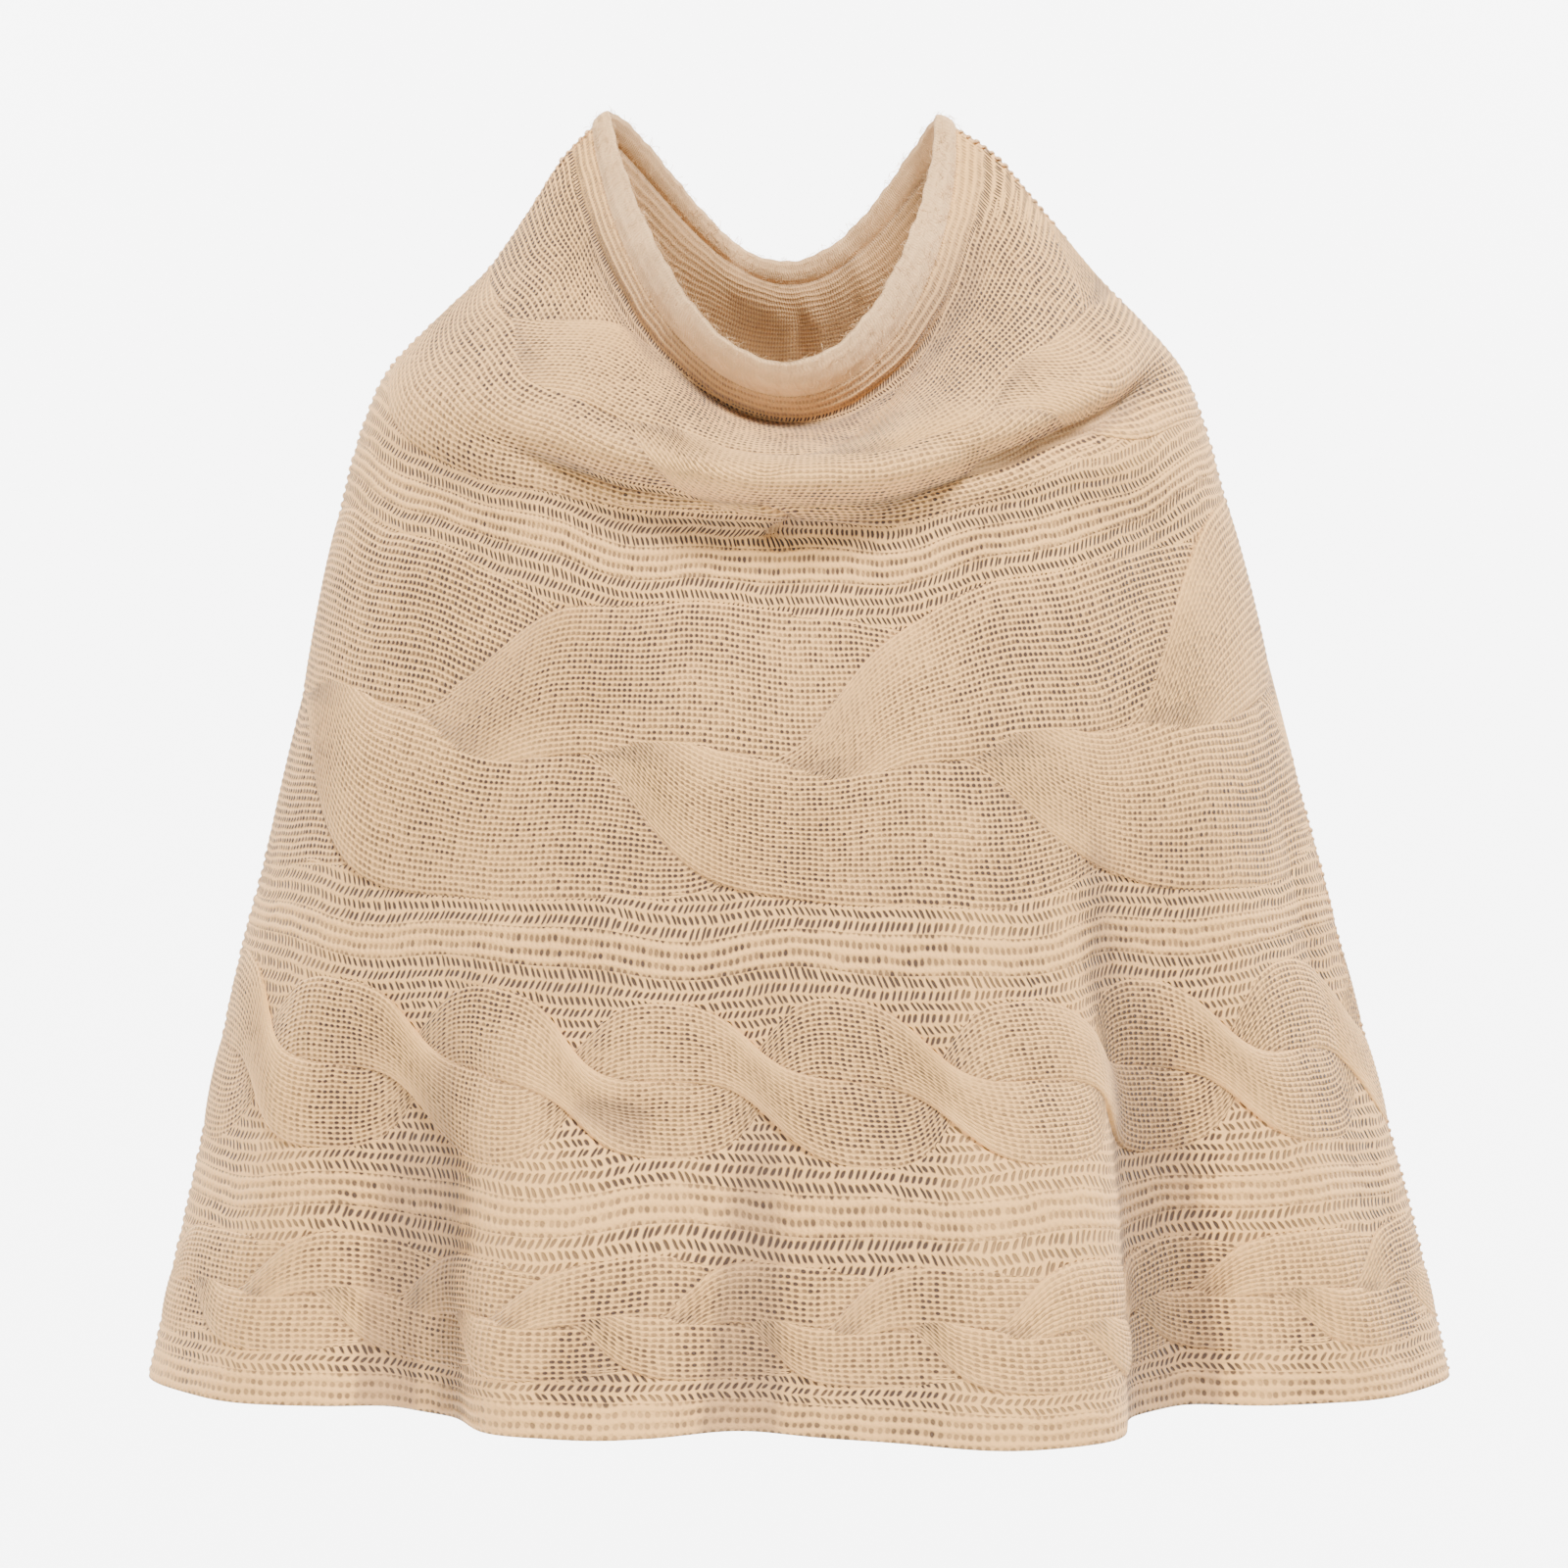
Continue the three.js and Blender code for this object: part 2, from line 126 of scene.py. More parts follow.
def level_curve(column, down):
    """A column of the level table at any level, on a smooth curve through its rows"""
    at, value = LEVELS[:, 0], LEVELS[:, LEVEL_COLUMNS.index(column)]
    row = np.arange(len(at))
    before, after = np.maximum(row - 1, 0), np.minimum(row + 1, len(at) - 1)
    slope = (value[after] - value[before]) / (at[after] - at[before])
    i = np.clip(np.searchsorted(at, down) - 1, 0, len(at) - 2)
    span = at[i + 1] - at[i]
    t = (down - at[i]) / span
    ends = value[i] * (1 + 2 * t) * (1 - t) ** 2 + value[i + 1] * t * t * (3 - 2 * t)
    return ends + span * t * (1 - t) * (slope[i] * (1 - t) - slope[i + 1] * t)


def folds_at(panel, place, down):
    """How far the folds and creases move the cloth outwards and along"""
    out = np.zeros(np.broadcast(place, down).shape)
    along = out.copy()
    for name, kind, top, hem, start, spread, rise, slide in FOLDS:
        if name != panel:
            continue
        share = np.clip((down - start) / (HEM - start), 0, 1)
        away = (place - top - (hem - top) * share) / spread
        grown = share * share * (3 - 2 * share) * 0.6 + share * 0.4
        out += rise * grown * (0.5 + 0.5 * np.tanh(away) if kind == "step" else np.exp(-away * away))
        along += slide * grown * np.exp(-(((away - np.sign(rise)) / 1.6) ** 2))
    for name, start, end, width, depth in CREASES:
        if name != panel:
            continue
        run = np.array([(end[0] - start[0]) * HALF_PANEL, end[1] - start[1]])
        x, y = (place - start[0]) * HALF_PANEL, down - start[1]
        share = (x * run[0] + y * run[1]) / (run @ run)
        bend = CREASE_BEND * np.sin(math.pi * share) + CREASE_WAVER * np.sin(7 * share + width)
        off = (x * run[1] - y * run[0]) / math.hypot(*run) - bend
        fade = np.exp(-np.maximum(np.abs(share - 0.5) - 0.32, 0) ** 2 / 0.02)
        out += depth * fade * (0.8 + 0.2 * np.sin(9 * share)) * np.exp(-((off / width) ** 2))
    return out, along


def level_points(panel, turn, down):
    """Points of the bare cloth, where turn runs from 0 at one side seam to pi at the other"""
    towards = -1 if panel == "front" else 1
    width, depth = level_curve("width", down), level_curve(panel + "_depth", down)
    side, middle = level_curve("side", down), level_curve(panel, down)
    rise, place = np.sin(turn), -np.cos(turn)
    out, along = folds_at(panel, place, down)
    nx, ny = place / width, rise / depth
    size = np.hypot(nx, ny)
    nx, ny = nx / size, ny / size
    flat = np.minimum(1, rise * 4)
    x = level_curve("shift", down) + level_curve("sway", down) * rise + width * place
    x = x + (nx * out + ny * along) * flat
    y = depth * rise ** level_curve("point", down) + (ny * out - nx * along) * flat + SEAM_GAP / 2
    z = side + (middle - side) * rise ** level_curve(panel + "_curve", down)
    return np.stack(np.broadcast_arrays(x, towards * y, z), axis=-1)


# The cloth of each panel as a fine net of points and outward directions, in equal steps of cloth
NET_ROWS, NET_COLUMNS = 368, 720
LEVEL_SAMPLES = 1201  # points along a level when its length is measured
net_points, net_normals = {}, {}
for panel in ("front", "back"):
    downs = np.linspace(0, HEM, NET_ROWS + 1)
    raw = level_points(panel, np.linspace(0, math.pi, LEVEL_SAMPLES)[None, :], downs[:, None])
    net = np.empty((NET_ROWS + 1, NET_COLUMNS + 1, 3))
    for i, row in enumerate(raw):
        length = np.concatenate([[0], np.cumsum(np.linalg.norm(np.diff(row, axis=0), axis=1))])
        even = np.linspace(0, length[-1], NET_COLUMNS + 1)
        for axis in range(3):
            net[i, :, axis] = np.interp(even, length, row[:, axis])
    normal = np.cross(np.gradient(net, axis=0), np.gradient(net, axis=1))
    if panel == "back":
        normal = -normal
    normal[:, [0, -1], 1] = 0
    net_points[panel] = net
    net_normals[panel] = normal / np.linalg.norm(normal, axis=2, keepdims=True)


# Where the folds bulge, up to 1, and where they sink, down to -1. On a ridge the knit is stretched, so its
# dashes close, and its yarn is painted lighter, a painted highlight; in a valley the yarn is painted darker,
# a painted shade.
RIDGE_ROWS, RIDGE_COLUMNS = 12, 26  # how far the cloth is compared with its neighbours, in steps of the net
RIDGE_FULL = 2.5  # millimetres above its neighbours where a ridge is at its full


def spread(net, reach, axis):
    """Each point's mean over its neighbours on both sides along one axis of a net"""
    padded = np.concatenate([net.take([0] * (reach + 1), axis), net, net.take([-1] * reach, axis)], axis)
    total = padded.cumsum(axis)
    width = 2 * reach + 1
    upper, lower = np.split(total, [width], axis)[1], np.split(total, [total.shape[axis] - width], axis)[0]
    return (upper - lower) / width


net_ridges = {}
for panel, net in net_points.items():
    mean = spread(spread(net, RIDGE_ROWS, 0), RIDGE_COLUMNS, 1)
    net_ridges[panel] = np.clip(((net - mean) * net_normals[panel]).sum(axis=2) / RIDGE_FULL, -1, 1)


ROW_WANDER = 2.2  # millimetres that the knitted rows stray up and down


def cloth(panel, across, down, out=0.0):
    """Points of a panel in metres, out millimetres outside the middle of its wall"""
    across, down, out = np.broadcast_arrays(across, down, out)
    wander = np.sin(27 * across + down / 50) + 0.6 * np.sin(49 * across - down / 70)
    at_seams = np.clip(10 * across * (1 - across), 0, 1)
    at_ends = np.clip(np.minimum(down, HEM - down) / 60, 0, 1)
    down = down + ROW_WANDER * (wander * at_seams * at_ends)
    c = np.clip(across, 0, 1) * NET_COLUMNS
    r = np.clip(down / HEM, 0, 1) * NET_ROWS
    c0 = np.minimum(c.astype(int), NET_COLUMNS - 1)
    r0 = np.minimum(r.astype(int), NET_ROWS - 1)
    c1, r1 = (c - c0)[..., None], (r - r0)[..., None]

    def mixed(net):
        top = net[r0, c0] * (1 - c1) + net[r0, c0 + 1] * c1
        return top * (1 - r1) + (net[r0 + 1, c0] * (1 - c1) + net[r0 + 1, c0 + 1] * c1) * r1

    return (mixed(net_points[panel]) + mixed(net_normals[panel]) * out[..., None]) * 0.001


def ridge_at(panel, across, down):
    """The ridge value of points of a panel"""
    across, down = np.broadcast_arrays(across, down)
    column = np.rint(np.clip(across, 0, 1) * NET_COLUMNS).astype(int)
    return net_ridges[panel][np.rint(np.clip(down / HEM, 0, 1) * NET_ROWS).astype(int), column]


def new_mesh(name, points, faces, uv, values):
    """A piece at the origin, with its stitch coordinates as a UV map and other values at its points"""
    mesh = bpy.data.meshes.new(name)
    mesh.from_pydata(points.tolist(), [], faces)
    corner = np.empty(len(mesh.loops), dtype=int)
    mesh.loops.foreach_get("vertex_index", corner)
    mesh.uv_layers.new(name="Stitches").data.foreach_set("uv", uv[corner].astype(np.float32).ravel())
    for key, value in values.items():
        attribute = mesh.attributes.new(key, "FLOAT", "POINT")
        attribute.data.foreach_set("value", value.astype(np.float32).ravel())
    mesh.shade_smooth()
    piece = bpy.data.objects.new(name, mesh)
    bpy.context.scene.collection.objects.link(piece)
    return piece


def grid_faces(rows, columns, start, turned):
    """The quads of a net of points that is numbered row by row"""
    corner = start + np.arange(rows - 1)[:, None] * columns + np.arange(columns - 1)
    quads = np.stack([corner, corner + columns, corner + columns + 1, corner + 1], axis=-1).reshape(-1, 4)
    return (quads[:, ::-1] if turned else quads).tolist()


STITCHES = 224  # across a panel
COLUMNS = 336  # steps of the mesh across a panel

# Knitted bands from the neck to the hem: kind, top and bottom level, strands, repeats across a panel,
# share of the panel where one crossing lies, height of the cable, wales in a strand, stitches across a panel
BANDS = [
    ("plain", 0, 14), ("cable", 14, 199, 3, 2.5, 0.27, 4, 24, 160), ("purl", 199, 211),
    ("ribs", 211, 227), ("purl", 227, 239), ("cable", 239, 454, 3, 3.3, 0.305, 6, 27, STITCHES),
    ("purl", 454, 466), ("ribs", 466, 482), ("purl", 482, 494),
    ("cable", 494, 602, 2, 8, 0.47, 5.5, 17, STITCHES), ("purl", 602, 614),
    ("ribs", 614, 630), ("purl", 630, 642), ("cable", 642, 707, 3, 10, 0.54, 4, 11, STITCHES),
    ("purl", 707, 717), ("ribs", 717, HEM),
]
RIBS = 3
RIB_RELIEF = 0.3
RUNG_ROW = 6.5  # height of one row of rungs
RUNG_RELIEF = 0.3
PLAIN_ROW = 4.2  # height of one row of plain stitches at the neck
INNER_ROW = 5  # the same on the inside
INNER_EVERY = 5  # the plain inside has one level for so many outside
OPEN_PLAIN, OPEN_GROUND, OPEN_INSIDE = 0.55, 0.85, 0.35  # how open the stitches are
CABLE_EDGE = 26  # how far inside a cable's edges the levels are still close together
CLOSE_STEP, FAR_STEP = 3.2, 14
BAND_START = 0.05

# Levels of the ground: close together on ribs and rungs, and far apart where a cable hides it. Each band
# starts just below the end of the one before, so that their stitches don't run into one another.
row_down, row_rib, row_rung, row_open = [0.0], [0.0], [0.0], [0.3]
rungs_above = 0
for kind, top, bottom, *_ in BANDS:
    steps = {"plain": 4, "purl": 4, "ribs": 12}.get(kind)
    rung_rows = round((bottom - top) / RUNG_ROW)
    if kind == "cable":
        edge = min(CABLE_EDGE, (bottom - top) * 0.3)
        stops = [*np.arange(top + 3, top + edge, CLOSE_STEP)]
        stops += [*np.arange(top + edge + 8, bottom - edge, FAR_STEP)]
        stops += [*np.arange(bottom - edge, bottom - 1, CLOSE_STEP), bottom]
    else:
        stops = np.linspace(top, bottom, steps + 1)[1:]
    for stop in [top + BAND_START, *stops]:
        row_down.append(float(stop))
        row_rung.append(rungs_above + (stop - top) / (bottom - top) * rung_rows)
        rib_rows = {"ribs": (stop - top) / (bottom - top) * RIBS, "plain": stop / PLAIN_ROW}
        row_rib.append(rib_rows.get(kind, -1.0))
        row_open.append(OPEN_PLAIN if kind == "plain" else OPEN_GROUND)
    rungs_above += rung_rows
row_down, row_rib, row_rung, row_open = map(np.array, (row_down, row_rib, row_rung, row_open))


def ground_piece(panel):
    """One closed sheet: the knitted outside, the plain inside, and the four narrow edges between them"""
    across = np.linspace(0, 1, COLUMNS + 1)
    stitch = across * STITCHES
    down, rib, rung = row_down[:, None], row_rib[:, None], row_rung[:, None]
    on_rib = rib >= 0
    rib_form = RIB_RELIEF * np.sin(math.pi * rib) ** 2
    rung_form = -RUNG_RELIEF * np.abs(np.sin(math.pi * rung))
    edge = np.minimum(1, np.minimum(across, 1 - across) * 60)[None, :]
    relief = np.where(on_rib, rib_form, rung_form) * edge
    outer = cloth(panel, across[None, :], down, CLOTH_WALL / 2 + relief)
    inner_rows = sorted({0, *range(0, len(row_down) - 1, INNER_EVERY), len(row_down) - 1})
    inner = cloth(panel, across[None, :], row_down[inner_rows][:, None], -CLOTH_WALL / 2)
    rows, columns = len(row_down), len(across)
    points = np.concatenate([outer.reshape(-1, 3), inner.reshape(-1, 3)])
    turned = panel == "back"
    first_inner = rows * columns
    faces = grid_faces(rows, columns, 0, turned)
    faces += grid_faces(len(inner_rows), columns, first_inner, not turned)
    for k in range(len(inner_rows) - 1):
        for column, flip in ((0, turned), (columns - 1, not turned)):
            run = [r * columns + column for r in range(inner_rows[k], inner_rows[k + 1] + 1)]
            ring = [first_inner + k * columns + column, first_inner + (k + 1) * columns + column] + run[::-1]
            faces.append(ring[::-1] if flip else ring)
    for row, inner_row, flip in ((0, 0, turned), (rows - 1, len(inner_rows) - 1, not turned)):
        for c in range(columns - 1):
            a, b = row * columns + c, first_inner + inner_row * columns + c
            faces.append([a, a + 1, b + 1, b][:: -1 if flip else 1])

    def both_sides(outside, inside):
        """One value for each point of the knitted outside and then of the plain inside"""
        outside = np.broadcast_to(outside, (rows, columns)).ravel()
        return np.concatenate([outside, np.broadcast_to(inside, (len(inner_rows), columns)).ravel()])

    v = both_sides(np.where(on_rib, rib, rung), row_down[inner_rows][:, None] / INNER_ROW)
    uv = np.stack([both_sides(stitch, stitch), v], axis=1)
    # The cloth is painted darker close under the neck band, most of all at the middle, and its whole inside
    # is painted dark: painted shade
    painted_band_shade = 1.1 * np.clip(1 - down / 40, 0, 1) * np.sin(math.pi * across)
    ridge = both_sides(ridge_at(panel, across[None, :], down) - painted_band_shade, -1.0)
    ribbed = both_sides(on_rib.astype(float), 1.0)
    opened = both_sides(row_open[:, None], OPEN_INSIDE)
    values = {"ribbed": ribbed, "ridge": ridge, "opened": opened}
    return new_mesh(panel + "_panel", points, faces, uv, values)


front_panel = ground_piece("front")
back_panel = ground_piece("back")


# Beige wool. Its groups give the dashes between stitches, the rungs of the purl side and the matted hairs.
YARN_LIGHT = (0.78, 0.43, 0.15, 1)
YARN_SHADE = (0.60, 0.325, 0.11, 1)
# The hole colour is painted shade, seen in the gaps between stitches and between rungs
YARN_HOLE_SHADE = (0.065, 0.038, 0.024, 1)
YARN_PAINTED_SHADE = (0.34, 0.20, 0.10, 1)
VALLEY_SHADE = 0.62  # how much painted shade the yarn takes on inside a fold and beside a strand that lies over it


def add_node(tree, kind, operation=None, **inputs):
    """A node whose inputs, named or numbered as in_0 and so on, are joined to sockets or set to values"""
    node = tree.nodes.new(kind)
    if operation:
        node.operation = operation
    for key, value in inputs.items():
        socket = node.inputs[int(key[3:])] if key.startswith("in_") else node.inputs[key.replace("_", " ")]
        if isinstance(value, bpy.types.NodeSocket):
            tree.links.new(value, socket)
        else:
            socket.default_value = value
    return node


def new_group(name, inputs, outputs):
    """An empty shader group with its sockets. Inputs are given as name, socket type and default value."""
    tree = bpy.data.node_groups.new(name, "ShaderNodeTree")
    for label, kind, value in inputs:
        socket = tree.interface.new_socket(label, in_out="INPUT", socket_type="NodeSocket" + kind)
        if value is not None:
            socket.default_value = value
    for label in outputs:
        tree.interface.new_socket(label, in_out="OUTPUT", socket_type="NodeSocketFloat")
    return tree, tree.nodes.new("NodeGroupInput"), tree.nodes.new("NodeGroupOutput")


def smooth_range(tree, value, low, high):
    """0 at low and 1 at high, with soft ends"""
    node = add_node(tree, "ShaderNodeMapRange", Value=value, From_Min=low, From_Max=high)
    node.interpolation_type = "SMOOTHSTEP"
    return node.outputs[0]


def math_node(tree, operation, a, b=0.0, c=0.0):
    """The result of one sum on sockets or values"""
    return add_node(tree, "ShaderNodeMath", operation, in_0=a, in_1=b, in_2=c).outputs[0]


def point_value(tree, name):
    """A value that the points of the piece carry"""
    node = tree.nodes.new("ShaderNodeAttribute")
    node.attribute_name = name
    return node.outputs["Fac"]


# Stitches: a groove on every whole V between two wales, with one dark dash in it at every whole U. The
# dashes and, faintly, the groove are painted shade of the gaps between the loops. Open is 0 where the yarn
# is stretched and the dashes close. No two dashes are quite alike.
DASH_LENGTH, DASH_WIDTH = 0.38, 0.34  # from the middle, as shares of a stitch and of a wale
stitch_inputs = [("Stitch", "Vector", None), ("Open", "Float", 1.0)]
stitch_inputs += [("Dash length", "Float", DASH_LENGTH), ("Dash width", "Float", DASH_WIDTH)]
stitches, given, result = new_group("Knit stitches", stitch_inputs, ["Dark", "Height", "Crest highlight"])
uv = add_node(stitches, "ShaderNodeSeparateXYZ", Vector=given.outputs["Stitch"]).outputs
cell_u, cell_v = math_node(stitches, "ROUND", uv[0]), math_node(stitches, "ROUND", uv[1])
cell = add_node(stitches, "ShaderNodeCombineXYZ", X=cell_u, Y=cell_v).outputs[0]
chance = add_node(stitches, "ShaderNodeTexWhiteNoise", Vector=cell)
chance.noise_dimensions = "2D"
moved = math_node(stitches, "MULTIPLY_ADD", chance.outputs[0], 0.24, -0.12)
from_dash = math_node(stitches, "ADD", math_node(stitches, "SUBTRACT", uv[0], cell_u), moved)
from_line = math_node(stitches, "SUBTRACT", uv[1], cell_v)
long_way = math_node(stitches, "DIVIDE", from_dash, given.outputs["Dash length"])
short_way = math_node(stitches, "DIVIDE", from_line, given.outputs["Dash width"])
square = math_node(stitches, "MULTIPLY", long_way, long_way)
distance = math_node(stitches, "SQRT", math_node(stitches, "MULTIPLY_ADD", short_way, short_way, square))
dash = math_node(stitches, "MULTIPLY", smooth_range(stitches, distance, 1.25, 0.6), given.outputs["Open"])
darkness = math_node(stitches, "MULTIPLY_ADD", chance.outputs[0], 0.5, 0.75)
dash = math_node(stitches, "MULTIPLY", dash, darkness)
from_wale = math_node(stitches, "ABSOLUTE", from_line)
groove_shown = smooth_range(stitches, given.outputs["Open"], -0.1, 0.5)
groove = math_node(stitches, "MULTIPLY", smooth_range(stitches, from_wale, 0.36, 0.04), groove_shown)
dark = math_node(stitches, "MAXIMUM", dash, math_node(stitches, "MULTIPLY", groove, 0.14))
# The crest of a wale shapes the bump and is also painted lighter, a painted highlight
crest = math_node(stitches, "MULTIPLY", smooth_range(stitches, from_wale, 0.18, 0.46), groove_shown)
leg_turn = math_node(stitches, "MULTIPLY", math_node(stitches, "SUBTRACT", uv[0], from_wale), 2 * math.pi)
leg = math_node(stitches, "MULTIPLY", math_node(stitches, "COSINE", leg_turn), 0.14)
height = math_node(stitches, "MULTIPLY_ADD", crest, 0.4, leg)
stitches.links.new(dark, result.inputs["Dark"])
stitches.links.new(math_node(stitches, "MULTIPLY_ADD", dash, -0.6, height), result.inputs["Height"])
stitches.links.new(crest, result.inputs["Crest highlight"])

# Rungs: slots that lean to one side in one row and to the other in the next, one at every whole U in rows
# that are one V high. The slots are painted dark, painted shade of the gaps between the rungs.
rung_inputs = [("Stitch", "Vector", None), ("Lean", "Float", 0.8)]
rungs, given, result = new_group("Purl rungs", rung_inputs, ["Dark", "Height"])
uv = add_node(rungs, "ShaderNodeSeparateXYZ", Vector=given.outputs["Stitch"]).outputs
from_row = math_node(rungs, "SUBTRACT", math_node(rungs, "FRACT", uv[1]), 0.5)
to_side = math_node(rungs, "MULTIPLY", math_node(rungs, "PINGPONG", uv[1], 1.0), given.outputs["Lean"])
leaned = math_node(rungs, "ADD", uv[0], to_side)
cell_u = math_node(rungs, "ROUND", leaned)
cell = add_node(rungs, "ShaderNodeCombineXYZ", X=cell_u, Y=math_node(rungs, "FLOOR", uv[1])).outputs[0]
chance = add_node(rungs, "ShaderNodeTexWhiteNoise", Vector=cell)
chance.noise_dimensions = "2D"
moved = math_node(rungs, "MULTIPLY_ADD", chance.outputs[0], 0.3, -0.15)
from_slot = math_node(rungs, "ADD", math_node(rungs, "SUBTRACT", leaned, cell_u), moved)
slot_width = math_node(rungs, "MULTIPLY_ADD", chance.outputs[0], 0.1, 0.25)
slot_height = math_node(rungs, "MULTIPLY_ADD", chance.outputs[0], -0.14, 0.47)
narrow = math_node(rungs, "DIVIDE", from_slot, slot_width)
tall = math_node(rungs, "DIVIDE", from_row, slot_height)
tall = math_node(rungs, "POWER", math_node(rungs, "ABSOLUTE", tall), 3)
distance = math_node(rungs, "ADD", math_node(rungs, "MULTIPLY", narrow, narrow), tall)
slot_hole = smooth_range(rungs, distance, 1.3, 0.25)
rungs.links.new(slot_hole, result.inputs["Dark"])
rungs.links.new(math_node(rungs, "SUBTRACT", 0.8, slot_hole), result.inputs["Height"])

# Hairs: fine matted fibres, and broad soft patches where the yarn is lighter or its stitches are closer
hair_inputs = [("Place", "Vector", None), ("Fineness", "Float", 900.0), ("Patch size", "Float", 14.0)]
hairs, given, result = new_group("Wool hairs", hair_inputs, ["Fibre", "Patch"])
place, fineness, patch_size = given.outputs["Place"], given.outputs["Fineness"], given.outputs["Patch size"]
fibre = add_node(hairs, "ShaderNodeTexNoise", Vector=place, Scale=fineness, Detail=3.0)
patch = add_node(hairs, "ShaderNodeTexNoise", Vector=place, Scale=patch_size, Detail=3.0, Roughness=0.6)
hairs.links.new(fibre.outputs[0], result.inputs["Fibre"])
hairs.links.new(patch.outputs[0], result.inputs["Patch"])


def knit_material(name, hole_share, bump, with_rungs=False, light=YARN_LIGHT, shade=YARN_SHADE):
    """Knitted wool. The ground alone has rungs, where its points aren't marked as ribbed."""
    material = bpy.data.materials.new(name)
    material.use_nodes = True
    tree = material.node_tree
    shader = tree.nodes["Principled BSDF"]
    shader.inputs["Roughness"].default_value = 0.92
    shader.inputs["Sheen Weight"].default_value = 0.1
    shader.inputs["Sheen Roughness"].default_value = 0.6
    shader.inputs["Specular IOR Level"].default_value = 0.2
    coordinates = tree.nodes.new("ShaderNodeTexCoord")
    stitch = tree.nodes.new("ShaderNodeUVMap")
    stitch.uv_map = "Stitches"
    wool = add_node(tree, "ShaderNodeGroup")
    wool.node_tree = hairs
    tree.links.new(coordinates.outputs["Object"], wool.inputs["Place"])
    # The yarn wanders a little from its even grid
    sway = add_node(tree, "ShaderNodeTexNoise", Vector=coordinates.outputs["Object"], Scale=60.0, Detail=2.0)
    half = (0.5, 0.5, 0.5)
    sway = add_node(tree, "ShaderNodeVectorMath", "SUBTRACT", in_0=sway.outputs["Color"], in_1=half)
    sway = add_node(tree, "ShaderNodeVectorMath", "SCALE", in_0=sway.outputs[0])
    sway.inputs["Scale"].default_value = 0.7
    placed = add_node(tree, "ShaderNodeVectorMath", "ADD", in_0=stitch.outputs[0], in_1=sway.outputs[0])
    placed = placed.outputs[0]
    knit = tree.nodes.new("ShaderNodeGroup")
    knit.node_tree = stitches
    tree.links.new(placed, knit.inputs["Stitch"])
    dark, height = knit.outputs["Dark"], knit.outputs["Height"]
    patch_open = smooth_range(tree, wool.outputs["Patch"], 0.3, 0.62)
    shown = math_node(tree, "MULTIPLY_ADD", patch_open, 0.27, 0.73)
    tree.links.new(math_node(tree, "MULTIPLY", shown, point_value(tree, "opened")), knit.inputs["Open"])
    if with_rungs:
        ladder = tree.nodes.new("ShaderNodeGroup")
        ladder.node_tree = rungs
        tree.links.new(placed, ladder.inputs["Stitch"])
        ribbed = point_value(tree, "ribbed")
        rib_width = math_node(tree, "MULTIPLY_ADD", ribbed, -0.06, DASH_WIDTH)
        tree.links.new(rib_width, knit.inputs["Dash width"])
        rung_dark, rung_height = ladder.outputs["Dark"], ladder.outputs["Height"]
        dark = add_node(tree, "ShaderNodeMix", Factor=ribbed, A=rung_dark, B=dark).outputs[0]
        height = add_node(tree, "ShaderNodeMix", Factor=ribbed, A=rung_height, B=height).outputs[0]
    # Painted light and shade: the yarn is painted lighter on the ridges of the folds and darker in their
    # valleys, beside a strand that lies over another, under the neck band and on the inside
    ridge = point_value(tree, "ridge")
    ridge_stretch_and_painted_light = smooth_range(tree, ridge, 0.1, 1.0)
    painted_valley_shade = smooth_range(tree, ridge, -0.1, -1.0)
    dark = math_node(tree, "MULTIPLY", dark, math_node(tree, "MULTIPLY_ADD", ridge_stretch_and_painted_light, -0.35, hole_share))
    painted_strand_shadow = math_node(tree, "MULTIPLY", point_value(tree, "painted_strand_shadow"), 0.7)
    painted_shade = math_node(tree, "MAXIMUM", painted_valley_shade, painted_strand_shadow)
    light_share = math_node(tree, "MULTIPLY_ADD", wool.outputs["Fibre"], 0.9, -0.45)
    # The crest of each wale is painted lighter: a painted highlight
    light_share = math_node(tree, "MULTIPLY_ADD", knit.outputs["Crest highlight"], 0.6, light_share)
    light_share = math_node(tree, "ADD", light_share, smooth_range(tree, wool.outputs["Patch"], 0.75, 0.3))
    light_share = math_node(tree, "ADD", light_share, ridge_stretch_and_painted_light)
    tone = add_node(tree, "ShaderNodeMix", in_6=shade, in_7=light)
    tone.data_type = "RGBA"
    tree.links.new(light_share, tone.inputs[0])
    colour = tone.outputs[2]
    for share, towards in ((math_node(tree, "MULTIPLY", painted_shade, VALLEY_SHADE), YARN_PAINTED_SHADE), (dark, YARN_HOLE_SHADE)):
        mix = add_node(tree, "ShaderNodeMix", in_7=towards)
        mix.data_type = "RGBA"
        tree.links.new(share, mix.inputs[0])
        tree.links.new(colour, mix.inputs[6])
        colour = mix.outputs[2]
    tree.links.new(colour, shader.inputs["Base Color"])
    relief = math_node(tree, "MULTIPLY_ADD", wool.outputs["Fibre"], 0.5, height)
    bumped = add_node(tree, "ShaderNodeBump", Height=relief, Distance=bump)
    bumped.inputs["Strength"].default_value = 0.8
    tree.links.new(bumped.outputs[0], shader.inputs["Normal"])
    return material


ground_wool = knit_material("Beige wool, ground", 1.02, 0.0014, with_rungs=True)
for piece, node in ((front_panel, "front"), (back_panel, "back")):
    piece.data.materials.append(ground_wool)
    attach(piece, "root")
    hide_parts(node)


